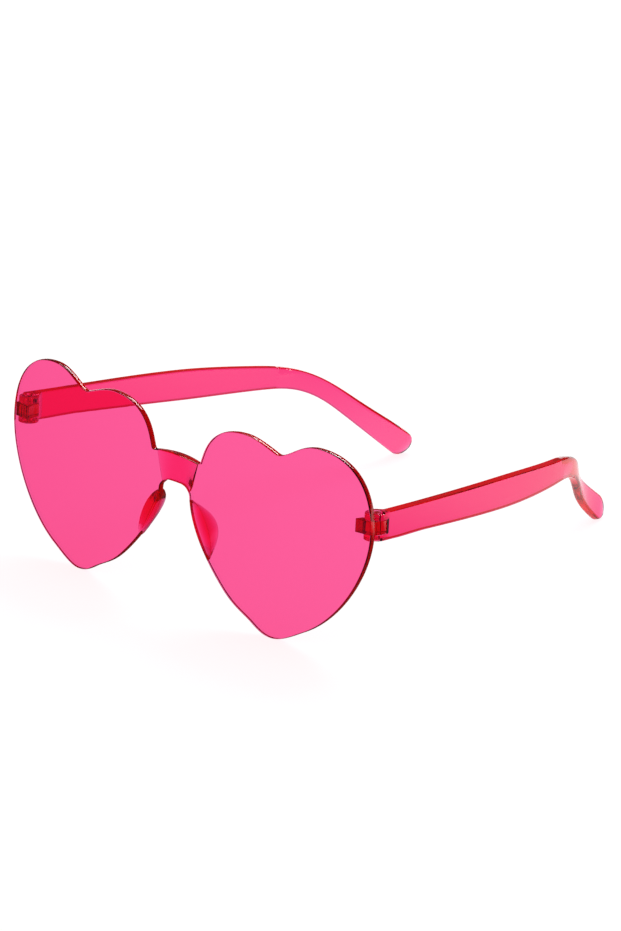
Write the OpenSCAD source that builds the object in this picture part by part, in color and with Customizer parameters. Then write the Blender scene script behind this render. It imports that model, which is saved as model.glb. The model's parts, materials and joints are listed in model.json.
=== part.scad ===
// Heart shaped sunglasses moulded in clear pink plastic.
// One wrapped plate is both lenses and the bridge. Two nose pads and two hinge lugs stand on its back.
// Each temple is a swept strip with a forked knuckle that turns on a headed pin.
// Everything is drawn upright, plate vertical, and then leant back until it stands on
// the two heart toes and the two temple tips, as the open glasses do on a table.

/* [Front plate] */
// Width of one heart
heart_w = 68.2; // [60:0.1:76]
// Height of the hearts, toe to lobe
heart_h = 60.3; // [52:0.1:70]
// Clear distance between the two hearts at the nose
heart_gap = 11.6; // [8:0.1:18]
// Thickness of the lens plate
plate_t = 2; // [1.6:0.1:3]
// Radius of the wrap round the face, on the front of the plate
wrap_r = 548; // [400:1:1200]

/* [Bridge] */
// Rise of the bridge's top edge above its corners
bridge_rise = 1.1; // [0.4:0.1:3]
// Height of the bridge at its middle
bridge_h = 8.2; // [6.5:0.1:9.5]
// Thickness of the bridge at its middle, where its back swells most
bridge_t = 3.1; // [2:0.1:4.5]
// Width of the swollen back of the bridge, at its top
boss_top_w = 16.8; // [12:0.1:18]
// Width of the swollen back of the bridge, at its foot
boss_foot_w = 8.4; // [6:0.1:11]

/* [Nose pads] */
// Height of each pad behind the plate
pad_h = 5.3; // [2.5:0.1:6]
// How far the pad's free edge flares away from the nose
pad_flare = 2.9; // [1.5:0.1:4]
// Width of the pad's foot on the plate
pad_base = 4.4; // [4.1:0.1:6]
// Half thickness of the pad's rounded free edge
pad_edge_r = 0.5; // [0.3:0.05:0.7]

/* [Hinges] */
// Height of the pin's middle above the toes, glasses upright
hinge_z = 40.7; // [36:0.1:45]
// Radius of the hinge knuckles
knuckle_r = 3; // [2.6:0.1:3.6]
// Height of the whole hinge, from ear to ear
hinge_h = 7.9; // [7.6:0.1:9.2]
// Height of the lug that stands on the plate
lug_h = 4.1; // [3.4:0.1:4.6]
// Free space between the turning pieces
turn_gap = 0.3; // [0.2:0.05:0.5]
// How far the knuckles stand out past the widest point of the plate
knuckle_out = 0.4; // [0:0.1:1]
// Radius of the hinge pin
pin_r = 0.7; // [0.5:0.05:0.9]
// Running clearance round the hinge pin
pin_fit = 0.05; // [0.02:0.01:0.1]
// Radius of the heads on the pin
head_r = 1.15; // [1:0.05:1.5]
// Thickness of each pin head
head_t = 0.45; // [0.3:0.05:0.6]

/* [Temples] */
// Length of a temple from the pin to its tip, measured along the strip
arm_l = 147; // [130:1:165]
// Length of the straight run, from the pin to the ear bend
run_l = 87.3; // [80:0.1:100]
// Length of the bend over the ear
bend_l = 31.9; // [20:0.1:36]
// Thickness of the strip at the hinge
arm_t = 3; // [2.4:0.1:3.4]
// Thickness of the strip at its tip
tip_t = 2.5; // [2:0.1:3]
// Height of the strip at the hinge
arm_h = 8.0; // [7:0.1:9]
// Height of the strip at the middle of the run
middle_h = 9.1; // [8:0.1:11]
// Height of the strip over the ear, where it is slimmest
ear_h = 5.9; // [5:0.1:8]
// Height of the paddle at the tip
tip_h = 8.1; // [6:0.1:10]
// Radius of the strip's rounded edges
edge_r = 0.9; // [0.5:0.05:1]
// Lift of the strip's middle above the pin's middle
arm_lift = 0.4; // [0:0.1:0.8]
// Degrees that the strip turns in at the hinge
start_angle = 4; // [0:0.5:6]
// Degrees that it turns in at the end of the run
run_angle = 16.9; // [10:0.1:20]
// Degrees that it turns in behind the ear
ear_angle = 35.4; // [30:0.1:40]
// Degrees that it turns in at the tip
tip_angle = 0; // [0:0.5:20]
// Degrees that the run falls
fall_run_angle = 2.3; // [0:0.1:4]
// Degrees that the tail falls behind the ear
fall_tail_angle = 35.4; // [28:0.1:40]
// Degrees that the tail rolls about its own length, to lie against the head
roll_angle = 24; // [0:1:30]

/* [Hidden] */
// Overrun of every cutting tool
over = 1;
// Depth to which the lugs and the swell are drawn into the plate
sink = 0.6;
lens_pink = [1, 0.34, 0.6];
deep_pink = [0.93, 0.16, 0.42];
pin_pink = [0.72, 0.05, 0.2];
half_w = heart_gap / 2 + heart_w;

// The heart's outline runs round from the toe. Each row is a place, as shares of the heart's width
// and height, the heading there in degrees, and the two handle lengths as shares of the width.
heart_shares = [
    [0.507, 0, 0, 0.048, 0.053],        // toe
    [0.676, 0.078, 27.4, 0.054, 0.207], // flank above the toe
    [1, 0.651, 90, 0.182, 0.179],       // widest point, where the hinge sits
    [0.711, 1, 180, 0.194, 0.104],      // outer lobe
    [0.494, 0.913, 180, 0.053, 0.012],  // notch
    [0.31, 0.967, 180, 0.072, 0.214],   // inner lobe
    [0.056, 0.747, 248, 0.057, 0.044],  // upper corner of the bridge
    [0.002, 0.595, 272, 0.059, 0.137],  // side of the nose
    [0.215, 0.174, 316, 0.156, 0.1],    // cheek side
    [0.389, 0.048, 329, 0.062, 0.05]    // flank beside the toe
];
corner_index = 6;
side_index = 7;
curve_steps = 9;

function heart_at(k) = let (s = heart_shares[k % len(heart_shares)])
    [heart_gap / 2 + s[0] * heart_w, s[1] * heart_h];
function heart_heading(k) = let (a = heart_shares[k % len(heart_shares)][2]) [cos(a), sin(a)];
function handle_in(k) = heart_shares[k % len(heart_shares)][3] * heart_w;
function handle_out(k) = heart_shares[k % len(heart_shares)][4] * heart_w;

// A cubic curve through four control points
function cubic(a, b, c, d, t) = pow(1 - t, 3) * a + 3 * pow(1 - t, 2) * t * b
    + 3 * (1 - t) * t * t * c + pow(t, 3) * d;

// The point at share t of the outline's stretch k
function heart_point(k, t) = let (
        a = heart_at(k),
        d = heart_at(k + 1)
    ) cubic(a, a + handle_out(k) * heart_heading(k), d - handle_in(k + 1) * heart_heading(k + 1), d, t);

heart_outline = [for (k = [0:len(heart_shares) - 1], i = [0:curve_steps - 1]) heart_point(k, i / curve_steps)];

// Depth of the wrapped surface that lies t behind the plate's front, at a distance x from the middle
function wrap_y(x, t) = wrap_r - sqrt(pow(wrap_r - t, 2) - x * x);

module heart() {
    polygon(heart_outline);
}

// The bridge: its top edge is a shallow arc between the hearts' corners, and its underside is
// a flat arch that runs down into the sides of the nose.
bridge_top = heart_at(corner_index);
bridge_crown = bridge_top[1] + bridge_rise;
bridge_reach_share = 1.25;
arch_w = heart_at(side_index)[0];
arch_foot_share = 0.56;
arch_crown = bridge_crown - bridge_h;
arch_power = 4.5;
arch_steps = 12;

module bridge() {
    top = [for (i = [-arch_steps:arch_steps]) let (s = i / arch_steps * bridge_reach_share)
        [bridge_top[0] * s, bridge_crown - bridge_rise * s * s]];
    arch_drop = arch_crown - arch_foot_share * heart_h;
    under = [for (i = [arch_steps:-1:-arch_steps]) let (s = sin(90 * i / arch_steps))
        [(arch_w + sink) * s, arch_crown - arch_drop * pow(abs(s), arch_power)]];
    polygon(concat(top, under));
}

// Outline of the part of the bridge whose back swells
module boss() {
    intersection() {
        bridge();
        polygon([
            [-boss_foot_w / 2, arch_crown - bridge_h],
            [boss_foot_w / 2, arch_crown - bridge_h],
            [boss_top_w / 2, bridge_crown + over],
            [-boss_top_w / 2, bridge_crown + over]
        ]);
    }
}

// A flat shape in the upright plane, cut out of a wrapped sheet between two depths
module wrapped(near, far) {
    intersection() {
        translate([0, half_w, 0])
            rotate([90, 0, 0])
            linear_extrude(2 * half_w)
            children();
        translate([0, wrap_r, -over])
            difference() {
                cylinder(r = wrap_r - near, h = heart_h + 2 * over, $fn = 720);
                translate([0, 0, -over])
                    cylinder(r = wrap_r - far, h = heart_h + 4 * over, $fn = 720);
            }
    }
}

// The swell of the bridge's back: an upright cylinder whose chord is the width of the swell
module swell() {
    rise = bridge_t - plate_t;
    swell_r = (pow(boss_top_w / 2, 2) + rise * rise) / (2 * rise);
    translate([0, bridge_t - swell_r, -over])
        cylinder(r = swell_r, h = heart_h + 2 * over, $fn = 360);
}

// Everything behind the plate, for trimming what stands on its back
module behind_plate() {
    translate([0, wrap_r, -over])
        cylinder(r = wrap_r - plate_t, h = heart_h + 2 * over, $fn = 720);
}

module front_plate() {
    color(lens_pink)
    placed() {
        wrapped(0, plate_t)
            union() {
                heart();
                mirror([1, 0]) heart();
                bridge();
            }
        if (bridge_t > plate_t)
            intersection() {
                wrapped(plate_t - sink, bridge_t + over)
                    boss();
                swell();
            }
    }
}

// Nose pad: a crescent ridge along the side of the nose. Its sections stand square to the heart's
// edge and rise and fall as a parabola along it.
pad_stretch_shares = [0.09, 0.72];
pad_steps = 22;
pad_inset = 0.1;
pad_end_share = 0.3;
pad_foot_power = 0.6;

function pad_middle_share() = (pad_stretch_shares[0] + pad_stretch_shares[1]) / 2;
function pad_half_share() = (pad_stretch_shares[1] - pad_stretch_shares[0]) / 2;

// Section of the pad as [away from the nose, backwards] where it has the share f of its full size
function pad_section(f) = let (
        r = pad_edge_r * (pad_end_share + (1 - pad_end_share) * f),
        top = pad_h * f,
        mid = max(pad_flare * f, r + 2 * pad_inset),
        foot = max(pad_base * pow(f, pad_foot_power), mid + r + pad_inset)
    ) [
        [pad_inset, 0],
        [mid - r, top - r],
        [mid - r / 2, top - r * 0.15],
        [mid, top],
        [mid + r / 2, top - r * 0.15],
        [mid + r, top - r],
        [foot, 0],
        [(pad_inset + foot) / 2, 0]
    ];

// One ring of the pad, at share u of its length, from -1 to 1
function pad_ring(u) = let (
        t = pad_middle_share() + u * pad_half_share(),
        dt = pad_half_share() / pad_steps,
        at = heart_point(side_index, t),
        ahead = heart_point(side_index, t + dt) - heart_point(side_index, t - dt),
        out = [-ahead[1], ahead[0]] / norm(ahead)
    ) [for (q = pad_section(1 - u * u)) let (e = at + q[0] * out)
        [e[0], wrap_y(e[0], plate_t) + q[1], e[1]]];

module nose_pad() {
    loft([for (i = [pad_steps:-1:-pad_steps]) pad_ring(i / (pad_steps + 1))]);
}

// A closed body through a list of rings that have the same number of points
module loft(rings) {
    n = len(rings[0]);
    last = len(rings) - 1;
    skin = [for (i = [0:last - 1], j = [0:n - 1]) let (k = (j + 1) % n)
        each [[i * n + j, i * n + k, (i + 1) * n + k], [i * n + j, (i + 1) * n + k, (i + 1) * n + j]]];
    near_end = [for (j = [0:n - 3]) [n - 1, j + 1, j]];
    far_end = [for (j = [0:n - 3]) [last * n + n - 1, last * n + j, last * n + j + 1]];
    polyhedron([for (r = rings) each r], concat(skin, near_end, far_end));
}

// Hinge: the lug stands on the plate's back and carries the middle knuckle. The temple's fork
// closes over it, and one headed pin passes through all three.
pin_x = half_w + knuckle_out - knuckle_r;
pin_y = wrap_y(pin_x, plate_t) + turn_gap + knuckle_r;
lug_inner = knuckle_r + turn_gap + 0.2 * knuckle_r;
lug_outer = 0.75 * knuckle_r;
bore_r = pin_r + pin_fit;
slot_h = lug_h + 2 * turn_gap;
recess_r = head_r + 2 * pin_fit;
recess_h = head_t + 2 * pin_fit;

module hinge_lug() {
    difference() {
        intersection() {
            translate([pin_x, pin_y, hinge_z - lug_h / 2])
                linear_extrude(lug_h)
                union() {
                    circle(r = knuckle_r, $fn = 64);
                    polygon([
                        [-lug_inner, -knuckle_r - turn_gap - sink],
                        [lug_outer, -knuckle_r - turn_gap - sink],
                        [knuckle_r * cos(10), -knuckle_r * sin(10)],
                        [-knuckle_r * cos(10), -knuckle_r * sin(10)]
                    ]);
                }
            behind_plate();
        }
        pin_bore();
    }
}

module pin_bore() {
    translate([pin_x, pin_y, hinge_z - hinge_h])
        cylinder(r = bore_r, h = 2 * hinge_h, $fn = 48);
}

module hinge_pin() {
    shank = hinge_h - 2 * recess_h + 2 * pin_fit;
    translate([pin_x, pin_y, hinge_z]) {
        translate([0, 0, -shank / 2])
            cylinder(r = pin_r, h = shank, $fn = 48);
        translate([0, 0, shank / 2])
            cylinder(r = head_r, h = head_t, $fn = 48);
        translate([0, 0, -shank / 2 - head_t])
            cylinder(r = head_r, h = head_t, $fn = 48);
    }
}

// Temple: a strip swept along a path. The path is added up step by step from two angles, how far
// the strip has turned in and how far it falls.
arm_steps = 46;
cap_steps = 5;
corner_steps = 3;
yaw_power = 2.27;
bend_lead_share = 0.13;

// A smooth step from 0 to 1 between a and b
function ease(a, b, s) = let (t = min(max((s - a) / (b - a), 0), 1)) t * t * (3 - 2 * t);
function blend(a, b, w) = a + (b - a) * w;

function arm_yaw(s) = start_angle
    + (run_angle - start_angle) * pow(min(s / run_l, 1), yaw_power)
    + (ear_angle - run_angle) * ease(run_l - bend_lead_share * bend_l, run_l + bend_l, s)
    + (tip_angle - ear_angle) * ease(run_l + bend_l, arm_l, s);
function arm_fall(s) = blend(fall_run_angle, fall_tail_angle, ease(run_l, run_l + bend_l, s));
function arm_roll(s) = roll_angle * ease(run_l, arm_l, s);
function arm_height(s) = arm_h
    + (middle_h - arm_h) * ease(0, 0.65 * run_l, s)
    + (ear_h - middle_h) * ease(0.65 * run_l, run_l + 0.7 * bend_l, s)
    + (tip_h - ear_h) * ease(run_l + 0.7 * bend_l, arm_l - tip_h / 2, s);
function arm_thick(s) = blend(arm_t, tip_t, ease(run_l, arm_l, s));
function arm_heading(s) = let (y = arm_yaw(s), f = arm_fall(s))
    [-sin(y) * cos(f), cos(y) * cos(f), -sin(f)];

arm_start = [pin_x + knuckle_r - arm_t / 2, pin_y, hinge_z + arm_lift];
step_l = (arm_l - tip_h / 2) / arm_steps;
arm_path = [for (i = 0, at = arm_start; i <= arm_steps;
    at = at + step_l * arm_heading((i + 0.5) * step_l), i = i + 1) at];

// Rounded section of the strip, as [outwards, upwards]
function strip_section(t, h) = let (r = min(edge_r, 0.48 * t, 0.48 * h))
    [for (c = [[1, 1, 0], [-1, 1, 90], [-1, -1, 180], [1, -1, 270]], k = [0:corner_steps])
        let (a = c[2] + 90 * k / corner_steps)
        [c[0] * (t / 2 - r) + r * cos(a), c[1] * (h / 2 - r) + r * sin(a)]];

// A section set square to the path at a point
function arm_ring(at, s, t, h) = let (
        y = arm_yaw(s),
        out = [cos(y), sin(y), 0],
        ahead = arm_heading(s),
        up = cross(out, ahead),
        roll = arm_roll(s),
        out_r = cos(roll) * out + sin(roll) * up,
        up_r = cos(roll) * up - sin(roll) * out
    ) [for (q = strip_section(t, h)) at + q[0] * out_r + q[1] * up_r];

// Over the last half height the strip rounds off into the paddle's end
arm_rings = concat(
    [for (i = [0:arm_steps]) let (s = i * step_l) arm_ring(arm_path[i], s, arm_thick(s), arm_height(s))],
    [for (k = [1:cap_steps]) let (
            a = 90 * k / (cap_steps + 0.35),
            s = arm_steps * step_l + tip_h / 2 * sin(a),
            at = arm_path[arm_steps] + tip_h / 2 * sin(a) * arm_heading(arm_l)
        ) arm_ring(at, s, arm_thick(s) * (0.45 + 0.55 * cos(a)), tip_h * cos(a))]
);

module temple() {
    difference() {
        union() {
            loft(arm_rings);
            translate([pin_x, pin_y, hinge_z - hinge_h / 2])
                linear_extrude(hinge_h)
                union() {
                    circle(r = knuckle_r, $fn = 64);
                    polygon([
                        [-0.55 * knuckle_r, 0.82 * knuckle_r],
                        [0.5 * knuckle_r, 0],
                        [0.5 * knuckle_r, 1.9 * knuckle_r],
                        [0.05 * knuckle_r, 1.9 * knuckle_r]
                    ]);
                }
        }
        translate([pin_x, pin_y, hinge_z - slot_h / 2])
            linear_extrude(slot_h)
            union() {
                circle(r = knuckle_r + turn_gap, $fn = 64);
                translate([-2 * knuckle_r, -2 * knuckle_r])
                    square([2 * knuckle_r, 3 * knuckle_r]);
                translate([-knuckle_r, -2 * knuckle_r])
                    square([3 * knuckle_r, 2 * knuckle_r]);
            }
        pin_bore();
        for (end = [-1, 1])
            translate([pin_x, pin_y, hinge_z + end * (hinge_h / 2 - recess_h / 2 + over / 2)])
            cylinder(r = recess_r, h = recess_h + over, center = true, $fn = 48);
    }
}

// Rest pose: lean back until the toes and the temple tips are level, then stand on the table
// with the origin under the middle of the whole object.
toe = heart_at(0);
toe_y = wrap_y(toe[0], plate_t);
arm_cloud = [for (r = arm_rings) each r];
function tip_low(a) = min([for (q = arm_cloud) q[2] * cos(a) - q[1] * sin(a)]);
function toe_low(a) = -toe_y * sin(a);
function settle(a, b, n) = let (m = (a + b) / 2)
    n <= 0 ? m : tip_low(m) > toe_low(m) ? settle(m, b, n - 1) : settle(a, m, n - 1);
settle_limit_angle = 20;
settle_steps = 24;
rest_angle = settle(0, settle_limit_angle, settle_steps);
front_most = min([for (q = heart_outline) wrap_y(q[0], 0) * cos(rest_angle) + q[1] * sin(rest_angle)]);
back_most = max([for (q = arm_cloud) q[1] * cos(rest_angle) + q[2] * sin(rest_angle)]);

module placed() {
    translate([0, -(front_most + back_most) / 2, -toe_low(rest_angle)])
        rotate([-rest_angle, 0, 0])
        children();
}

module nose_pad_left() {
    color(deep_pink) placed() nose_pad();
}

module nose_pad_right() {
    color(deep_pink) placed() mirror([1, 0, 0]) nose_pad();
}

module hinge_lug_left() {
    color(deep_pink) placed() hinge_lug();
}

module hinge_lug_right() {
    color(deep_pink) placed() mirror([1, 0, 0]) hinge_lug();
}

module hinge_pin_left() {
    color(pin_pink) placed() hinge_pin();
}

module hinge_pin_right() {
    color(pin_pink) placed() mirror([1, 0, 0]) hinge_pin();
}

module temple_left() {
    color(lens_pink) placed() temple();
}

module temple_right() {
    color(lens_pink) placed() mirror([1, 0, 0]) temple();
}

front_plate();
nose_pad_left();
nose_pad_right();
hinge_lug_left();
hinge_lug_right();
hinge_pin_left();
hinge_pin_right();
temple_left();
temple_right();
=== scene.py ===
import bpy
import bmesh
import json
import math
import numpy as np
from mathutils import Matrix


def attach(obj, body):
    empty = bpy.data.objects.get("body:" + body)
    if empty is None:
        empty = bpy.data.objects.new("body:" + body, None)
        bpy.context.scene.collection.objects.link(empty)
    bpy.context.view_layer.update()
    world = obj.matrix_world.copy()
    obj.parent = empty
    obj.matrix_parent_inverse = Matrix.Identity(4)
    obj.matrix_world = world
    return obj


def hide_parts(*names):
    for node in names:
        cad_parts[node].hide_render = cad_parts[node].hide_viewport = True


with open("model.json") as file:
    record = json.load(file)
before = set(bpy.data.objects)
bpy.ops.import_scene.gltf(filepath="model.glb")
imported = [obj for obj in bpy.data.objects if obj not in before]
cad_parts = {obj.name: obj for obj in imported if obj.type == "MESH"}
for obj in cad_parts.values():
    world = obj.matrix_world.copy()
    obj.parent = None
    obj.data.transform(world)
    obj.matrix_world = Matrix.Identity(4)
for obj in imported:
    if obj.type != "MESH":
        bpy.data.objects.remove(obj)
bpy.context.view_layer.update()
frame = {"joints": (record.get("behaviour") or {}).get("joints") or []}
print("stage: frame loaded")

# All shapes are worked out in millimetres with the plate standing upright, and are then
# leant back and set down in the frame's own place, as the CAD part is.
metre = 1000  # in millimetres

heart = {
    "width": 68.2,
    "height": 60.3,
    "gap": 11.6,        # between the two hearts
    # place as shares of width and height, heading in degrees, handle in and out as shares of width
    "marks": [
        (0.507, 0, 0, 0.048, 0.053),
        (0.676, 0.078, 27.4, 0.054, 0.207),
        (1, 0.651, 90, 0.182, 0.179),
        (0.711, 1, 180, 0.194, 0.104),
        (0.494, 0.913, 180, 0.053, 0.012),
        (0.31, 0.967, 180, 0.072, 0.214),
        (0.056, 0.747, 248, 0.057, 0.044),
        (0.002, 0.595, 272, 0.059, 0.137),
        (0.215, 0.174, 316, 0.156, 0.1),
        (0.389, 0.048, 329, 0.062, 0.05),
    ],
    "corner": 6,        # the mark where the bridge's top starts
    "noseSide": 7,      # the mark where the side of the nose starts
    "curvePoints": 60,  # from one mark to the next
}
plate = {
    "thick": 2.0,
    "wrap": 548.0,      # radius of the wrap round the face
    "edge": 0.35,       # how far the rim's middle stands out beyond the faces' edges
    "edgeSteps": 21,    # rings of points across the rim
    "spacing": 0.4,     # between the outline's points
    "soften": 0.35,     # width of the bell that rounds the outline's corners
    "strip": 1.5,       # width of the upright strips that the faces are cut into
}
bridge = {
    "rise": 0.7,        # of its top edge above its corners
    "high": 8.5,        # at its middle
    "thick": 2.95,      # at its middle, where its back swells most
    "topWide": 16.8, "footWide": 11.2,  # of the swollen back
    "swellPower": (1.9, 4.6),  # at the top and at the foot, where the swell's sides are steeper
    "archFoot": 0.56,   # height of the arch's ends, as a share of the heart's height
    "archPower": 4.5,
    "archReach": 0.6,   # from the mark of the nose's side outwards to the arch's end
    "edge": 0.35,       # rounding of the back's long edges
    "edgeShare": 0.45,  # most of the boss's depth that the rounding takes
    "sink": 0.6,        # how deep in the plate the boss starts
    "proud": 0.01,      # how far the swell's two sides stand out of the plate's back
    "inside": 0.04,     # how far the boss keeps inside the bridge's own edges
    "edgePoints": 40,   # along half of the bridge's top, and half of its underside
    "across": 65, "down": 10, "round": 6,  # points of the boss's sections
}

halfWide = heart["gap"] / 2 + heart["width"]


# Depth of the wrapped sheet that lies deep behind the plate's front: the wrap radius less the
# side of a right triangle whose long side is the radius less deep and whose short side is x.
def wrapDepth(x, deep):
    return plate["wrap"] - np.sqrt((plate["wrap"] - deep) ** 2 - np.square(x))


# Place, heading and lengths of the two handles of mark k: its shares times width or height, and
# the cosine and sine of its angle.
def heartMark(k):
    m = heart["marks"][k % len(heart["marks"])]
    at = np.array([heart["gap"] / 2 + m[0] * heart["width"], m[1] * heart["height"]])
    a = math.radians(m[2])
    return at, np.array([math.cos(a), math.sin(a)]), m[3] * heart["width"], m[4] * heart["width"]


# Cubic curve between marks k and k + 1: the four control points weighted by the usual cubic
# weights of t and 1 - t.
def heartCurve(k, t):
    a, da, _, outLen = heartMark(k)
    d, dd, inLen, _ = heartMark(k + 1)
    b = a + outLen * da
    c = d - inLen * dd
    t = np.atleast_1d(t)[:, None]
    return (1 - t) ** 3 * a + 3 * (1 - t) ** 2 * t * b + 3 * (1 - t) * t * t * c + t ** 3 * d


bridgeCorner = heartMark(heart["corner"])[0]
bridgeCrown = bridgeCorner[1] + bridge["rise"]
archCrown = bridgeCrown - bridge["high"]
archFoot = bridge["archFoot"] * heart["height"]
archHalf = heartMark(heart["noseSide"])[0][0] + bridge["archReach"]


# Underside of the bridge: its crown less the whole drop times the share of the half width
# raised to a high power, which keeps the middle flat.
def archHeight(x):
    return archCrown - (archCrown - archFoot) * np.abs(x / archHalf) ** bridge["archPower"]


hinge = {
    "z": 40.7,                # height of its middle above the hearts' toes
    "knuckle": 3.0,           # radius
    "high": 7.9, "lug": 4.1,  # heights of the fork, and of the lug between its tines
    "gap": 0.3,               # between the plate's back and the knuckle
    "slotGap": 0.15,          # between the lug and the fork
    "out": 0.4,               # how far the knuckle stands out past the heart
    "pin": 0.7,               # radius
    "head": 1.15,             # radius of the pin's two heads
    "headThick": 0.45, "headEase": 0.1,
    "fit": 0.05,              # play of the pin
    "edge": 0.18,             # rounding of the upper and lower edges
    "slotEdge": 0.001,        # next to none, so that the slot's edges stay sharp
    "sink": 0.12,             # how deep in the plate the lug's root ends
    "over": 1.0,              # how far a bore's tool stands out at both ends
    "spacing": 0.15,          # between the outlines' points
    "soften": (0.12, 0.1),    # width of the bell that rounds the lug's outline, and the fork's
    # arcs about the pin: degrees from and to, and points
    "lugArc": (-10, 190, 60), "forkArc": (125, 360, 90), "slotArc": (-1, 89, 40),
    # places from the pin in knuckle radii, sideways and backwards
    "root": (-1.2, 0.75),                             # ends of the lug's root, sideways only
    "web": [(0.5, 1.9), (0.35, 1.9), (-0.55, 0.82)],  # from inside the strip to the fork's arc
    "heel": [(1, 0.1), (0.5, 0.4)],                   # from the fork's arc back into the strip
    "slot": [(0, 1), (-2, 1), (-2, -2), (2, -2), (2, -0.02)],
}
pinX = halfWide + hinge["out"] - hinge["knuckle"]
pinY = float(wrapDepth(pinX, plate["thick"])) + hinge["gap"] + hinge["knuckle"]

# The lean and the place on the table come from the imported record's hinge.
hingeJoint = next(j for j in frame["joints"] if j["name"] == "fold_left")
leanSin, leanCos = hingeJoint["axis"][1], hingeJoint["axis"][2]
pinWorld = np.array(hingeJoint["pos_m"]) * metre
shiftY = pinWorld[1] - (pinY * leanCos + hinge["z"] * leanSin)
liftZ = pinWorld[2] - (-pinY * leanSin + hinge["z"] * leanCos)


# A turn back about X by the lean: y takes the cosine of itself and the sine of z, z the
# cosine of itself less the sine of y.
def turned(p):
    p = np.asarray(p, float)
    x, y, z = p[:, 0], p[:, 1], p[:, 2]
    return np.stack([x, y * leanCos + z * leanSin, -y * leanSin + z * leanCos], 1)


# Upright millimetres to metres in the frame: turned, then moved.
def placed(p):
    return (turned(p) + (0, shiftY, liftZ)) / metre


# how every mesh is made
making = {
    "weld": 1e-7,   # points closer than this many metres become one
    "onCut": 1e-8,  # points closer than this many metres to a cut lie on it
    "sharp": 38,    # degrees between two faces from which their edge shows
}


# An object in the scene that shows the data.
def linked(name, data):
    obj = bpy.data.objects.new(name, data)
    bpy.context.scene.collection.objects.link(obj)
    return obj


# Smooth shading on every face.
def smoothFaces(mesh):
    mesh.polygons.foreach_set("use_smooth", np.ones(len(mesh.polygons), bool))


# Turns every face outwards and gives smooth shading that breaks at real edges.
def facedOut(obj):
    bm = bmesh.new()
    bm.from_mesh(obj.data)
    bmesh.ops.remove_doubles(bm, verts=bm.verts, dist=making["weld"])
    bmesh.ops.recalc_face_normals(bm, faces=bm.faces)
    bm.to_mesh(obj.data)
    bm.free()
    smoothFaces(obj.data)
    obj.data.set_sharp_from_angle(angle=math.radians(making["sharp"]))
    obj.data.update()


# A mesh object from points in upright millimetres, an array of quads and a few wider faces.
# A mirrored one has its points' x and its faces turned over.
def makeObject(name, points, quads, caps=(), mirrored=False):
    points = np.array(points, float)
    step = 1
    if mirrored:
        points[:, 0] *= -1
        step = -1
    faces = quads[:, ::step].tolist() + [cap[::step].tolist() for cap in caps]
    mesh = bpy.data.meshes.new(name)
    mesh.from_pydata(placed(points).tolist(), [], faces)
    mesh.validate()
    obj = linked(name, mesh)
    facedOut(obj)
    return obj


# Quads between rows of n points each, every row a closed ring.
def ringQuads(rows, n):
    i = np.arange(rows - 1)[:, None] * n
    j = np.arange(n)[None, :]
    k = (j + 1) % n
    return np.stack([i + j, i + k, i + n + k, i + n + j], -1).reshape(-1, 4)


# The first ring and the last one as closing faces.
def endCaps(rows, n):
    return np.arange(n)[::-1], np.arange((rows - 1) * n, rows * n)


# A closed solid from rings of points: one row of the arrays x, y and z for each ring.
def ringSolid(name, x, y, z, mirrored=False):
    rows, n = x.shape
    points = np.stack([x, y, z], -1).reshape(-1, 3)
    return makeObject(name, points, ringQuads(rows, n), endCaps(rows, n), mirrored)


# Each point of a closed line becomes the bell weighted mean of its neighbours out to three
# widths: the weight is the exponential of minus half the square of the distance over the width.
def bellRound(points, spacing, width):
    reach = int(math.ceil(3 * width / spacing))
    offsets = np.arange(-reach, reach + 1)
    weights = np.exp(-0.5 * np.square(offsets * spacing / width))
    near = (np.arange(len(points))[:, None] + offsets) % len(points)
    return np.einsum("k,nkc->nc", weights / weights.sum(), points[near])


# A closed line at even steps of its own length, rounded by a bell.
def rounded(points, spacing, width):
    closed = np.vstack([points, points[:1]])
    run = np.concatenate([[0], np.cumsum(np.hypot(*np.diff(closed, axis=0).T))])
    at = np.linspace(0, run[-1], int(round(run[-1] / spacing)), endpoint=False)
    even = np.stack([np.interp(at, run, closed[:, 0]), np.interp(at, run, closed[:, 1])], 1)
    return bellRound(even, spacing, width)


# Each row over its own length.
def unitRows(d):
    return d / np.hypot(d[:, 0], d[:, 1])[:, None]


# Outward normals of a clockwise closed line: the tangent turned a quarter to the left.
def lineNormals(points):
    d = unitRows(np.roll(points, -1, 0) - np.roll(points, 1, 0))
    return np.stack([-d[:, 1], d[:, 0]], 1)


# The plate's outline, clockwise seen from the front: bridge top, heart, bridge underside, and
# the same mirrored. The bridge's top is a parabola, its crown less the rise times the square of
# the share of the way to its corner.
def frontOutline():
    n = len(heart["marks"])
    s = np.linspace(0, 1, bridge["edgePoints"])
    top = np.stack([bridgeCorner[0] * s, bridgeCrown - bridge["rise"] * s * s], 1)
    t = np.linspace(0, 1, heart["curvePoints"], endpoint=False)
    forward = np.vstack([heartCurve((heart["noseSide"] + i) % n, t) for i in range(n - 1)])
    forward = np.vstack([forward, heartCurve(heart["corner"] - 1, [1.0])])
    # the side of the nose starts where the underside of the bridge meets it
    inside = forward[:, 1] - archHeight(np.minimum(forward[:, 0], archHalf))
    start = int(np.argmax(inside < 0))
    x = np.linspace(forward[start, 0], 0, bridge["edgePoints"])
    under = np.stack([x, archHeight(x)], 1)
    half = np.vstack([top[:-1], forward[start:][::-1][:-1], under])
    other = half[::-1] * (-1, 1)
    return np.vstack([half[:-1], other[:-1]])


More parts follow.
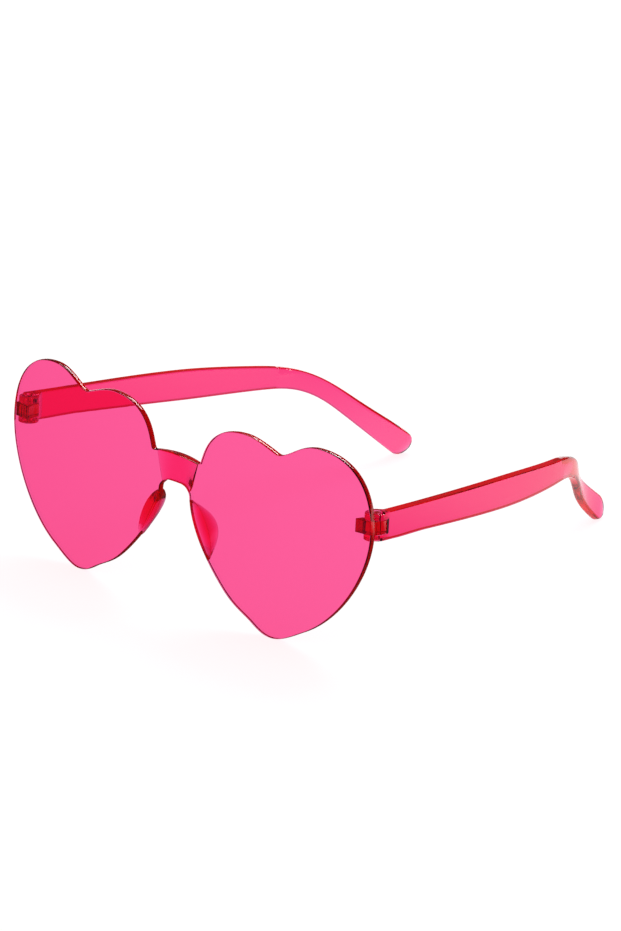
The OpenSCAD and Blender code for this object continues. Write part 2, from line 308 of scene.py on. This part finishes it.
# The rim's rings, half an ellipse across the thickness: the inset is the edge times one less the
# sine of an angle, the depth half the thickness times one less the cosine. Facing is the share
# of the face's own normal in the ellipse's.
def rimRings():
    e, thick = plate["edge"], plate["thick"]
    q = np.linspace(0, math.pi, plate["edgeSteps"])
    inset = e * (1 - np.sin(q))
    deep = thick / 2 * (1 - np.cos(q))
    facing = np.cos(q) / np.hypot(np.cos(q), np.sin(q) * thick / 2 / e)
    return inset, deep, facing


# Cuts the plate's two faces, the last ones of its mesh, into narrow upright strips, so that they
# follow the wrap.
def cutIntoStrips(bm, fromX, toX):
    bm.faces.ensure_lookup_table()
    strip, onCut = plate["strip"], making["onCut"]
    cuts = np.arange(math.ceil(fromX / strip) * strip, toX, strip) / metre
    for face in (bm.faces[-2], bm.faces[-1]):
        geom = [face] + list(face.verts) + list(face.edges)
        for c in cuts:
            at, sideways = (c, 0, 0), (1, 0, 0)
            cut = bmesh.ops.bisect_plane(bm, geom=geom, plane_co=at, plane_no=sideways, dist=onCut)
            geom = [g for g in cut["geom"] if g.is_valid]


# Normals for the plate's points. A face's are the wrap's own: x over the wrap radius sideways,
# and what is left of one forwards, or both turned round on the back. The rim's lean from there
# to the outline's normals as the ellipse does.
def plateNormals(mesh, out, facing):
    co = np.empty(len(mesh.vertices) * 3)
    mesh.vertices.foreach_get("co", co)
    x, y, z = co.reshape(-1, 3).T * metre
    uprightY = (y - shiftY) * leanCos - (z - liftZ) * leanSin
    behind = uprightY > wrapDepth(x, plate["thick"] / 2)
    away = np.stack([x / plate["wrap"], -np.sqrt(1 - np.square(x / plate["wrap"])), 0 * x], 1)
    normals = np.where(behind[:, None], -away, away)
    rows, n = len(facing), len(out)
    rim = slice(0, rows * n)
    along = np.stack([-away[rim, 1], away[rim, 0], 0 * x[rim]], 1)
    outX, outZ = np.tile(out[:, 0], rows)[:, None], np.tile(out[:, 1], rows)[:, None]
    outward = outX * along + outZ * np.array([0, 0, 1.0])
    share = np.repeat(facing, n)[:, None]
    normals[rim] = np.sqrt(1 - share * share) * outward + share * away[rim]
    return turned(normals)


# The plate: a sheet cut to the outline and wrapped round the face, with a rim of rings that
# follow the outline at an inset and a depth each.
def lensPlate(name):
    line = rounded(frontOutline(), plate["spacing"], plate["soften"])
    out = lineNormals(line)
    inset, deep, facing = rimRings()
    rows, n = len(deep), len(line)
    flat = (line[None] - out[None] * inset[:, None, None]).reshape(-1, 2)
    points = np.stack([flat[:, 0], wrapDepth(flat[:, 0], np.repeat(deep, n)), flat[:, 1]], 1)
    faces = ringQuads(rows, n).tolist() + [cap.tolist() for cap in endCaps(rows, n)]
    mesh = bpy.data.meshes.new(name)
    mesh.from_pydata(placed(points).tolist(), [], faces)
    bm = bmesh.new()
    bm.from_mesh(mesh)
    cutIntoStrips(bm, line[:, 0].min(), line[:, 0].max())
    bmesh.ops.recalc_face_normals(bm, faces=bm.faces)
    bm.to_mesh(mesh)
    bm.free()
    smoothFaces(mesh)
    mesh.normals_split_custom_set_from_vertices(plateNormals(mesh, out, facing).tolist())
    return linked(name, mesh)


frontPiece = lensPlate("lensPlate")
print("stage: plate", len(frontPiece.data.polygons))


# The thick middle of the bridge, as closed upright sections side by side, whose half width
# narrows evenly from top to foot. Its back swells as one less a power of the share of the half
# width, and the power grows with the square of the share of the way down. The two long edges of
# the back are rounded by a quarter circle.
def bridgeBoss(name):
    u = np.linspace(-1, 1, bridge["across"])[:, None]
    q = np.linspace(0, math.pi / 2, bridge["round"])
    mid = np.linspace(0, 1, bridge["down"] + 2)[1:-1]
    # share of the way down, part of the rounding's radius down from an end, and drop of the back
    share = np.concatenate([[0], 0 * q, mid, 0 * q + 1, [1]])[None]
    fromEnd = np.concatenate([[0], 1 - np.cos(q), 1 + 0 * mid, (1 - np.cos(q))[::-1], [0]])[None]
    drop = np.concatenate([[0], 1 - np.sin(q), 0 * mid, (1 - np.sin(q))[::-1], [0]])[None]
    x = u * (bridge["topWide"] + (bridge["footWide"] - bridge["topWide"]) * share) / 2
    atTop, atFoot = bridge["swellPower"]
    swell = 1 - np.abs(u) ** (atTop + (atFoot - atTop) * share * share)
    near = plate["thick"] - bridge["sink"]
    base = plate["thick"] + bridge["proud"]
    far = base + (bridge["thick"] - base) * swell
    r = np.minimum(bridge["edge"], (far - near) * bridge["edgeShare"])
    deep = far - r * drop
    deep[:, [0, -1]] = near
    top = bridgeCrown - bridge["rise"] * np.square(x / bridgeCorner[0]) - bridge["inside"]
    foot = archHeight(np.clip(x, -archHalf, archHalf)) + bridge["inside"]
    z = top - r * fromEnd * (share < 1) - (top - foot) * share + r * fromEnd * (share == 1)
    return ringSolid(name, x, wrapDepth(x, deep), z)


bossPiece = bridgeBoss("bridgeBoss")
print("stage: boss")

pad = {
    "high": 5.3,
    "flare": 2.9,           # from the plate's side to the middle of the free edge
    "base": 4.4,            # from the plate's side to the foot of the slope
    "basePower": 0.6,       # below one, the foot widens sooner than the pad grows high
    "edge": 0.5,            # radius of the free edge
    "tipEdge": 0.3,         # share of that radius at the pad's tips
    "leastWall": 0.2,       # least way from the plate's side to the free edge
    "leastSlope": 0.1,      # least way from the free edge to the foot
    "inset": 0.1,           # of the wall from the plate's side
    "sink": 0.12,           # how deep in the plate it starts
    "span": (0.09, 0.72),   # stretch of the side of the nose that the pad covers
    "spanShare": 0.985,     # how much of half the span the rings reach
    "probe": 0.01,          # step along the span that gives the heading
    "rings": 72,
    "capArc": (170, 5, 16),  # of the free edge: degrees from and to, and points
    "sideSteps": 8,         # of the wall and of the slope
}


# Closed sections of a pad at shares f of its full size, as distances away from the nose and
# backwards: a straight wall up to the rounded free edge, over it in part of a circle, and a
# straight slope down to the foot.
def padSections(f):
    inset, tipEdge = pad["inset"], pad["tipEdge"]
    r = pad["edge"] * (tipEdge + (1 - tipEdge) * f)
    top = pad["high"] * f
    mid = np.maximum(pad["flare"] * f, r + pad["leastWall"])
    foot = np.maximum(pad["base"] * f ** pad["basePower"], mid + r + pad["leastSlope"])
    a = np.radians(np.linspace(*pad["capArc"]))[None]
    capX, capY = mid + r * np.cos(a), top - r + r * np.sin(a)
    s = np.linspace(0, 1, pad["sideSteps"] + 1)[None, 1:]
    wallX, wallY = inset + (capX[:, :1] - inset) * s[:, :-1], capY[:, :1] * s[:, :-1]
    slopeX, slopeY = capX[:, -1:] + (foot - capX[:, -1:]) * s, capY[:, -1:] * (1 - s)
    across = np.hstack([0 * f + inset, 0 * f + inset, wallX, capX, slopeX, foot])
    back = np.hstack([0 * f - pad["sink"], 0 * f, wallY, capY, slopeY, 0 * f - pad["sink"]])
    return across, back


# A crescent ridge along the side of the nose: its size follows one less the square of the
# place along it, from -1 to 1, and the rings crowd together at its tips as a sine does.
def nosePad(name, mirrored):
    lo, hi = pad["span"]
    v = np.sin(np.linspace(-1, 1, pad["rings"]) * math.pi / 2) * pad["spanShare"]
    t = (lo + hi) / 2 + v * (hi - lo) / 2
    k, probe = heart["noseSide"], pad["probe"]
    at = heartCurve(k, t)
    ahead = unitRows(heartCurve(k, t + probe) - heartCurve(k, t - probe))
    across, back = padSections((1 - v * v)[:, None])
    x = at[:, :1] - across * ahead[:, 1:]
    z = at[:, 1:] + across * ahead[:, :1]
    return ringSolid(name, x, wrapDepth(x, plate["thick"]) + back, z, mirrored)


padPieces = {"left": nosePad("nosePadLeft", False), "right": nosePad("nosePadRight", True)}
print("stage: pads")


# An upright prism on a closed line, anticlockwise seen from above, its upper and lower edges
# rounded by a quarter circle.
def roundedPrism(name, line, low, high, edge, mirrored, steps=5):
    q = np.linspace(0, math.pi / 2, steps)
    inset = edge * (1 - np.sin(np.concatenate([q, q[::-1]])))
    z = np.concatenate([low + edge * (1 - np.cos(q)), high - edge * (1 - np.cos(q[::-1]))])
    # on an anticlockwise line these normals point inwards
    flat = line[None] + lineNormals(line)[None] * inset[:, None, None]
    return ringSolid(name, flat[..., 0], flat[..., 1], z[:, None] + 0 * flat[..., 0], mirrored)


# A turned solid about the hinge's axis, from radii and heights: each point lies at the radius
# times the cosine and sine of its angle. The first and last rings close it.
def turnedSolid(name, radii, heights, mirrored, steps=64):
    a = np.linspace(0, 2 * math.pi, steps, endpoint=False)[None]
    r, h = np.array(radii)[:, None], np.array(heights)[:, None]
    return ringSolid(name, pinX + r * np.cos(a), pinY + r * np.sin(a), hinge["z"] + h + 0 * a, mirrored)


# Adds or takes a solid, and removes the tool.
def joined(base, tool, operation):
    mod = base.modifiers.new("solid", "BOOLEAN")
    mod.operation = operation
    mod.solver = "EXACT"
    mod.object = tool
    made = bpy.data.meshes.new_from_object(base.evaluated_get(bpy.context.evaluated_depsgraph_get()))
    base.modifiers.clear()
    old = base.data
    base.data = made
    bpy.data.meshes.remove(old)
    made.name = base.name
    bpy.data.objects.remove(tool)


# Points on a circle about the hinge's axis, seen from above.
def arcLine(r, fromAngle, toAngle, points):
    a = np.radians(np.linspace(fromAngle, toAngle, points))
    return np.stack([pinX + r * np.cos(a), pinY + r * np.sin(a)], 1)


# Places given in knuckle radii from the pin, seen from above.
def fromPin(places):
    return np.array([pinX, pinY]) + np.array(places) * hinge["knuckle"]


boreR = hinge["pin"] + hinge["fit"]
recessR = hinge["head"] + 2 * hinge["fit"]
recessHigh = hinge["headThick"] + 2 * hinge["fit"]


# The block on the plate's back: a round knuckle about the pin that widens to a root on the
# plate.
def lugPiece(name, mirrored):
    z, half = hinge["z"], hinge["lug"] / 2
    ends = pinX + np.array(hinge["root"]) * hinge["knuckle"] - (hinge["gap"], 0)
    root = np.stack([ends, wrapDepth(ends, plate["thick"]) - hinge["sink"]], 1)
    line = np.vstack([root, arcLine(hinge["knuckle"], *hinge["lugArc"])])
    line = rounded(line, hinge["spacing"], hinge["soften"][0])
    obj = roundedPrism(name, line, z - half, z + half, hinge["edge"], mirrored)
    end = half + hinge["over"]
    joined(obj, turnedSolid("bore", [boreR, boreR], [-end, end], mirrored), "DIFFERENCE")
    facedOut(obj)
    return obj


lugPieces = {"left": lugPiece("hingeLugLeft", False), "right": lugPiece("hingeLugRight", True)}
print("stage: lugs")


# The pin: a shank between two flat round heads with eased edges.
def pinPiece(name, mirrored):
    shank = (hinge["high"] - 2 * recessHigh + 2 * hinge["fit"]) / 2
    end = shank + hinge["headThick"]
    r, head, eased = hinge["pin"], hinge["head"], hinge["headEase"]
    radii = np.array([r, head - eased, head, head, head - eased])
    heights = np.array([shank, shank, shank + eased, end - eased, end])
    return turnedSolid(name, [*radii[::-1], *radii], [*-heights[::-1], *heights], mirrored)


pinPieces = {"left": pinPiece("hingePinLeft", False), "right": pinPiece("hingePinRight", True)}
print("stage: pins")

arm = {
    "length": 146.95, "run": 87.3, "bend": 31.9,  # whole, to the bend, and the bend's own
    "lift": 0.4,                    # of the strip's middle above the hinge's
    "thick": (2.99, 2.5),           # along the run, and at the tip
    "high": (8.0, 9.1, 5.9, 8.1),   # at the hinge, at its swell, in its neck and in the paddle
    "swellAt": 0.65,                # place of the swell, as a share of the run
    "neckAt": 0.7,                  # place of the neck, as a share of the bend
    "edge": (0.25, 0.85),           # bevel along the run, and rounding from the neck on
    "edgeShare": 0.48,              # most of the section's smaller side that a corner takes
    "yaw": (4.0, 16.9, 35.4, 0.0),  # degrees inwards at the hinge, run's end, bend's end and tip
    "yawPower": 2.27,               # above one, the run turns in more towards its end
    "bendLead": 0.13,               # how early the bend turns in, as a share of it
    "fall": (2.3, 35.4),            # degrees downwards before and after the bend
    "roll": 24.0,                   # degrees that the section has turned at the tip
    "foot": (0.4, 6.0, 20.0),       # extra height below at the hinge, and the stretch where it fades
    "tipThick": 0.45,               # share of the thickness that is left at the tip
    "tipTurn": 0.985,               # share of the quarter circle that the tip's rings reach
    "stations": 220, "capSteps": 14, "cornerSteps": 8,
}
neckPlace = arm["run"] + arm["neckAt"] * arm["bend"]


# A smooth step from 0 to 1 between a and b: three squares less two cubes.
def ease(a, b, s):
    t = np.clip((np.asarray(s, float) - a) / (b - a), 0, 1)
    return t * t * (3 - 2 * t)


# How far the strip has turned in and how far it falls at length s, in radians: the yaw grows by
# a power of the share of the run, and both change by smooth steps over the bend.
def armAngles(s):
    y0, y1, y2, y3 = arm["yaw"]
    run, bend = arm["run"], arm["bend"]
    yaw = (y0 + (y1 - y0) * np.minimum(s / run, 1) ** arm["yawPower"]
           + (y2 - y1) * ease(run - arm["bendLead"] * bend, run + bend, s)
           + (y3 - y2) * ease(run + bend, arm["length"], s))
    fall = arm["fall"][0] + (arm["fall"][1] - arm["fall"][0]) * ease(run, run + bend, s)
    return np.radians(yaw), np.radians(fall)


# Unit heading at length s: back along y, turned in by the yaw and down by the fall.
def armHeading(s):
    yaw, fall = armAngles(s)
    return np.stack([-np.sin(yaw) * np.cos(fall), np.cos(yaw) * np.cos(fall), -np.sin(fall)], -1)


# Centre line: the hinge's place and the sum of the headings times the steps, then the round
# end straight ahead, at the sines of a quarter circle's angles. Gives the points, their lengths
# along the strip and those angles.
def armPath():
    tip = arm["high"][3] / 2
    s = np.linspace(0, arm["length"] - tip, arm["stations"])
    start = np.array([pinX + hinge["knuckle"] - arm["thick"][0] / 2, pinY, hinge["z"] + arm["lift"]])
    steps = armHeading((s[1:] + s[:-1]) / 2) * np.diff(s)[:, None]
    path = start + np.vstack([[0, 0, 0], np.cumsum(steps, 0)])
    a = np.radians(np.linspace(0, 90, arm["capSteps"] + 1)[1:] * arm["tipTurn"])
    cap = tip * np.sin(a)
    ahead = armHeading(np.array([arm["length"]]))
    return np.vstack([path, path[-1] + cap[:, None] * ahead]), np.concatenate([s, s[-1] + cap]), a


# Thickness and height at length s, by smooth steps from one given size to the next. In the
# round end both shrink with the cosine of its angles a.
def armSizes(s, a):
    h0, h1, h2, h3 = arm["high"]
    swellPlace = arm["swellAt"] * arm["run"]
    high = (h0 + (h1 - h0) * ease(0, swellPlace, s) + (h2 - h1) * ease(swellPlace, neckPlace, s)
            + (h3 - h2) * ease(neckPlace, arm["length"] - h3 / 2, s))
    thick = arm["thick"][0] + (arm["thick"][1] - arm["thick"][0]) * ease(arm["run"], arm["length"], s)
    left = arm["tipThick"]
    high[-len(a):] = h3 * np.cos(a)
    thick[-len(a):] *= left + (1 - left) * np.cos(a)
    return thick, high


# The section's two axes at length s: outwards level and square to the heading, upwards square
# to both, and both turned about the heading by the roll.
def armAxes(s):
    yaw, _ = armAngles(s)
    out = np.stack([np.cos(yaw), np.sin(yaw), 0 * yaw], 1)
    up = np.cross(out, armHeading(s))
    roll = np.radians(arm["roll"]) * ease(arm["run"], arm["length"], s)[:, None]
    return np.cos(roll) * out + np.sin(roll) * up, np.cos(roll) * up - np.sin(roll) * out


# The section's outline along its two axes: four corners in turn, each a mean of a straight cut
# and a quarter circle, whose share grows from nothing along the run to the whole at the neck.
def armSections(s, thick, high):
    soft = ease(arm["run"], neckPlace, s)[:, None]
    r = arm["edge"][0] + (arm["edge"][1] - arm["edge"][0]) * soft
    r = np.minimum(r, arm["edgeShare"] * np.minimum(thick, high)[:, None])
    steps = arm["cornerSteps"] + 1
    corner = np.repeat([0, 1, 2, 3], steps)
    t = np.tile(np.linspace(0, 1, steps), 4)
    b, b0, b1 = np.radians(90 * (corner + t)), np.radians(90 * corner), np.radians(90 * corner + 90)
    cornerX = (1 - soft) * ((1 - t) * np.cos(b0) + t * np.cos(b1)) + soft * np.cos(b)
    cornerY = (1 - soft) * ((1 - t) * np.sin(b0) + t * np.sin(b1)) + soft * np.sin(b)
    side, level = np.array([1, -1, -1, 1])[corner], np.array([1, 1, -1, -1])[corner]
    extra, fadeFrom, fadeTo = arm["foot"]
    extra = extra * (1 - ease(fadeFrom, fadeTo, s))
    across = side * (thick[:, None] / 2 - r) + r * cornerX
    tall = level * (high[:, None] / 2 - r) + r * cornerY - (level < 0) * extra[:, None]
    return across, tall


# The temple's strip: its section swept along its centre line.
def stripPiece(name, mirrored):
    at, s, a = armPath()
    out, up = armAxes(s)
    across, tall = armSections(s, *armSizes(s, a))
    rings = at[:, None] + across[..., None] * out[:, None] + tall[..., None] * up[:, None]
    return ringSolid(name, rings[..., 0], rings[..., 1], rings[..., 2], mirrored)


# The whole temple: strip and knuckle made one, then the slot for the lug, the bore and the
# two recesses for the pin's heads are cut.
def templePiece(name, mirrored):
    k, z, half = hinge["knuckle"], hinge["z"], hinge["high"] / 2
    obj = stripPiece(name, mirrored)
    line = np.vstack([fromPin(hinge["web"]), arcLine(k, *hinge["forkArc"]), fromPin(hinge["heel"])])
    line = rounded(line, hinge["spacing"], hinge["soften"][1])
    joined(obj, roundedPrism("fork", line, z - half, z + half, hinge["edge"], mirrored), "UNION")
    room = hinge["lug"] / 2 + hinge["slotGap"]
    line = np.vstack([arcLine(k + hinge["slotGap"], *hinge["slotArc"]), fromPin(hinge["slot"])])
    slot = roundedPrism("slot", line, z - room, z + room, hinge["slotEdge"], mirrored, 2)
    joined(obj, slot, "DIFFERENCE")
    seat, end = half - recessHigh, half + hinge["over"]
    bore = turnedSolid("bore", [recessR, recessR, boreR, boreR, recessR, recessR],
                       [-end, -seat, -seat, seat, seat, end], mirrored)
    joined(obj, bore, "DIFFERENCE")
    facedOut(obj)
    return obj


templePieces = {"left": templePiece("templeLeft", False), "right": templePiece("templeRight", True)}
print("stage: temples", len(templePieces["left"].data.polygons))

plastic = {
    "ior": 1.49,
    # what each millimetre takes from red, green and blue
    "takes": {
        "lens": (0.013, 0.975, 0.485),
        "temple": (0.02, 0.9, 0.465),
        "pad": (0.035, 1.0, 0.55),
        # the hinge's lugs and pins take much more than the other pieces of the same plastic: painted
        # shade, a denser body that darkens the hinge where its crowded parts shade each other
        "hinge": (0.09, 1.35, 0.85),
    },
    "tint": ((1, 1, 1), (1, 0.985, 0.992)),  # clearest and deepest tone of the flow marks
    "rough": (0.006, 0.02),                  # glossiest and dullest of the grain
    "ripple": 0.00002,                       # height of the moulded surface's ripple in metres
    # how many to the metre, and with how much detail
    "flow": (55.0, 3),
    "grain": (900.0, 2),
    "waves": (120.0, 1),
}


# An empty node material, its nodes and its output.
def emptyMaterial(name):
    mat = bpy.data.materials.new(name)
    mat.use_nodes = True
    nt = mat.node_tree
    nt.nodes.clear()
    return mat, nt, nt.nodes.new("ShaderNodeOutputMaterial")


# A node of some kind, with values for its inputs.
def addNode(nt, kind, **values):
    node = nt.nodes.new("ShaderNode" + kind)
    for key, value in values.items():
        node.inputs[key].default_value = value
    return node


# A node that works out one value from two.
def addMath(nt, operation, first, second):
    node = nt.nodes.new("ShaderNodeMath")
    node.operation = operation
    nt.links.new(first, node.inputs[0])
    nt.links.new(second, node.inputs[1])
    return node


# A node that carries a value from 0 to 1 over to the range from low to high.
def addRange(nt, value, low, high):
    node = nt.nodes.new("ShaderNodeMapRange")
    node.inputs["To Min"].default_value = low
    node.inputs["To Max"].default_value = high
    nt.links.new(value, node.inputs["Value"])
    return node


# One shader where the share is 0 and another where it is 1.
def addMix(nt, share, atNone, atWhole):
    node = nt.nodes.new("ShaderNodeMixShader")
    nt.links.new(share, node.inputs[0])
    nt.links.new(atNone, node.inputs[1])
    nt.links.new(atWhole, node.inputs[2])
    return node.outputs[0]


# Clear pink plastic: a smooth refracting surface round a body that takes green and blue from
# the light for every millimetre of its way. Faint flow marks tone it, a fine grain varies its
# gloss, and a slow ripple bends what shows in it. Lamps and the floor see it unbent.
def clearPlastic(name, takes):
    mat, nt, out = emptyMaterial(name)
    glass = nt.nodes.new("ShaderNodeBsdfPrincipled")
    glass.inputs["IOR"].default_value = plastic["ior"]
    glass.inputs["Transmission Weight"].default_value = 1
    place = nt.nodes.new("ShaderNodeTexCoord")

    def noise(scale, detail):
        node = addNode(nt, "TexNoise", Scale=scale, Detail=detail)
        nt.links.new(place.outputs["Object"], node.inputs["Vector"])
        return node.outputs["Fac"]

    tone = nt.nodes.new("ShaderNodeMix")
    tone.data_type = "RGBA"
    tone.inputs["A"].default_value = plastic["tint"][0] + (1,)
    tone.inputs["B"].default_value = plastic["tint"][1] + (1,)
    nt.links.new(noise(*plastic["flow"]), tone.inputs["Factor"])
    nt.links.new(tone.outputs["Result"], glass.inputs["Base Color"])
    gloss = addRange(nt, noise(*plastic["grain"]), *plastic["rough"])
    nt.links.new(gloss.outputs[0], glass.inputs["Roughness"])
    bump = addNode(nt, "Bump", Distance=plastic["ripple"])
    nt.links.new(noise(*plastic["waves"]), bump.inputs["Height"])
    nt.links.new(bump.outputs[0], glass.inputs["Normal"])

    clear = nt.nodes.new("ShaderNodeBsdfTransparent")
    rays = nt.nodes.new("ShaderNodeLightPath").outputs
    unbent = addMath(nt, "MAXIMUM", rays["Is Shadow Ray"], rays["Is Diffuse Ray"])
    surface = addMix(nt, unbent.outputs[0], glass.outputs[0], clear.outputs[0])
    nt.links.new(surface, out.inputs["Surface"])

    perMetre = np.array(takes) * metre
    density = float(perMetre.max())
    passed = (*(1 - perMetre / density).tolist(), 1)
    body = addNode(nt, "VolumeAbsorption", Density=density, Color=passed)
    nt.links.new(body.outputs[0], out.inputs["Volume"])
    return mat


clear = {piece: clearPlastic(piece + "Clear", takes) for piece, takes in plastic["takes"].items()}


# Gives a piece its material and its body, and hides the frame's nodes that it stands for. The slot's
# name is not used.
def finished(obj, material, body, slotName, *nodes):
    obj.data.materials.clear()
    obj.data.materials.append(material)
    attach(obj, body)
    if nodes:
        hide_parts(*nodes)


finished(frontPiece, clear["lens"], "front", "front_plate", "front_plate")
finished(bossPiece, clear["lens"], "front", "front_plate")
for side in ("left", "right"):
    finished(padPieces[side], clear["pad"], "front", "nose_pads", "nose_pad_" + side)
    # lugs and pins take the hinge's denser plastic, whose extra depth is painted shade
    finished(lugPieces[side], clear["hinge"], "front", "hinge_lugs", "hinge_lug_" + side)
    finished(pinPieces[side], clear["hinge"], "front", "hinge_pins", "hinge_pin_" + side)
    finished(templePieces[side], clear["temple"], "temple_" + side[0], "temples", "temple_" + side)
print("stage: materials")

# The room: a white floor, an even sky that the camera sees white, and two soft lamps.
light = {
    "floor": 0.2,         # paint of the floor
    "reach": 6.0,         # half the floor's width in metres
    "lift": 0.81,         # what lifts it to white for the camera and through the plastic
    "sky": 0.8,
    "dim": 0.06,          # how bright the room looks in the plastic's gloss
    "fade": (0.0, 0.08),  # stretch behind the lenses where the floor in the gloss turns white
    # each lamp's place, the line that its width lies along, its width, height and power; the
    # back lamp draws the white lines along the rim's upper walls
    "lamps": {
        "backLamp": ((-0.215, 0.66, 0.92), (0.969, 0.012, 0.248), 0.72, 0.4, 6.2),
        "fillLamp": ((-0.6, 0.3, 1.2), (1, 0, 0), 0.7, 0.7, 2.5),
    },
    "aim": 0.02,          # height of the point that the lamps face
    # of all kinds, glossy and transmitted: light that runs round inside the rim and the hinges
    # needs many turns before it comes out
    "bounces": (32, 24, 24),
}


# How much of a ray comes straight off a gloss: glossy less transmitted, never below nothing.
def mirrorShare(nt):
    rays = nt.nodes.new("ShaderNodeLightPath").outputs
    share = addMath(nt, "SUBTRACT", rays["Is Glossy Ray"], rays["Is Transmission Ray"])
    share.use_clamp = True
    return share.outputs[0]


# Seen by the camera or through the plastic, the floor is lifted to white and keeps its
# shadows. In a gloss it is white behind the lenses and dark before them, where the room
# starts: the photograph's lenses show next to no veil of white, and its temples show some.
def paleFloor():
    mat, nt, out = emptyMaterial("paleFloor")
    paint = addNode(nt, "BsdfDiffuse", Color=(light["floor"],) * 3 + (1,))
    glow = addNode(nt, "Emission", Strength=light["lift"])
    lifted = nt.nodes.new("ShaderNodeAddShader")
    nt.links.new(paint.outputs[0], lifted.inputs[0])
    nt.links.new(glow.outputs[0], lifted.inputs[1])
    rays = nt.nodes.new("ShaderNodeLightPath").outputs
    direct = addMath(nt, "MAXIMUM", rays["Is Camera Ray"], rays["Is Transmission Ray"])
    plain = addMix(nt, direct.outputs[0], paint.outputs[0], lifted.outputs[0])

    place = nt.nodes.new("ShaderNodeTexCoord")
    axes = nt.nodes.new("ShaderNodeSeparateXYZ")
    nt.links.new(place.outputs["Object"], axes.inputs[0])
    fade = addRange(nt, axes.outputs["Y"], light["dim"], 1.0)
    fade.interpolation_type = "SMOOTHSTEP"
    fade.inputs["From Min"].default_value, fade.inputs["From Max"].default_value = light["fade"]
    mirrored = nt.nodes.new("ShaderNodeEmission")
    nt.links.new(fade.outputs[0], mirrored.inputs["Strength"])
    surface = addMix(nt, mirrorShare(nt), plain, mirrored.outputs[0])
    nt.links.new(surface, out.inputs["Surface"])
    return mat


reach = light["reach"]
corners = [(-reach, -reach, 0), (reach, -reach, 0), (reach, reach, 0), (-reach, reach, 0)]
floorMesh = bpy.data.meshes.new("floor")
floorMesh.from_pydata(corners, [], [(0, 1, 2, 3)])
floorMesh.materials.append(paleFloor())
floor = linked("floor", floorMesh)

world = bpy.data.worlds.new("sky")
bpy.context.scene.world = world
world.use_nodes = True
skyTree = world.node_tree
sky = skyTree.nodes["Background"]
sky.inputs["Color"].default_value = (1, 1, 1, 1)
level = addRange(skyTree, mirrorShare(skyTree), light["sky"], light["dim"])
eyeRay = skyTree.nodes.new("ShaderNodeLightPath")
seenSky = addMath(skyTree, "MAXIMUM", level.outputs[0], eyeRay.outputs["Is Camera Ray"])
skyTree.links.new(seenSky.outputs[0], sky.inputs["Strength"])


# An object's matrix from its three axes and its place.
def standing(x, y, z, at):
    return Matrix(np.vstack([np.column_stack([x, y, z, at]), [0, 0, 0, 1]]).tolist())


# A lamp of a given width and height at a place, facing the glasses, its width along a line: z is
# the way back from them, y square to z and the line, and x square to both. Its image shows in
# gloss alone, not through the plastic.
def softLamp(name, at, along, wide, high, power):
    data = bpy.data.lights.new(name, "AREA")
    data.shape = "RECTANGLE"
    data.size, data.size_y = wide, high
    data.energy = power
    z = np.array(at) - (0, 0, light["aim"])
    z /= np.linalg.norm(z)
    y = np.cross(z, along)
    y /= np.linalg.norm(y)
    lamp = linked(name, data)
    lamp.matrix_world = standing(np.cross(y, z), y, z, at)
    lamp.visible_transmission = False


for name, lamp in light["lamps"].items():
    softLamp(name, *lamp)
cycles = bpy.context.scene.cycles
cycles.max_bounces, cycles.glossy_bounces, cycles.transmission_bounces = light["bounces"]
print("stage: room")

# The camera stands where the photograph was taken from: round to the wearer's left and raised.
view = {
    "round": 44.398, "raised": 19.976,  # degrees
    "focal": 5710.6,                    # in pixels of the photograph
    "pixelsHigh": 931,
    # millimetres: a point on the glasses' middle line, by its place behind the plate's front and
    # its height, and the way to it from the eye, ahead, to the right and upwards
    "behind": -0.215, "height": -2.4415, "away": 1667.36, "sideways": -41.52, "upwards": -43.0,
    "sensor": 36,                       # height in millimetres
    "clip": (0.05, 50),                 # metres
}
turn, tilt = math.radians(view["round"]), math.radians(view["raised"])
right = np.array([math.cos(turn), math.sin(turn), 0])
ahead = np.array([-math.sin(turn) * math.cos(tilt), math.cos(turn) * math.cos(tilt), -math.sin(tilt)])
above = np.cross(right, ahead)
eye = -ahead * view["away"] - right * view["sideways"] - above * view["upwards"]
eye = (eye + (0, shiftY + view["behind"], view["height"])) / metre
camData = bpy.data.cameras.new("camera")
camData.sensor_fit = "VERTICAL"
camData.sensor_height = view["sensor"]
camData.lens = view["focal"] / view["pixelsHigh"] * view["sensor"]
camData.clip_start, camData.clip_end = view["clip"]
cam = linked("camera", camData)
cam.matrix_world = standing(right, above, -ahead, eye)
bpy.context.scene.camera = cam
bpy.context.scene.view_settings.view_transform = "Standard"
print("stage: camera")
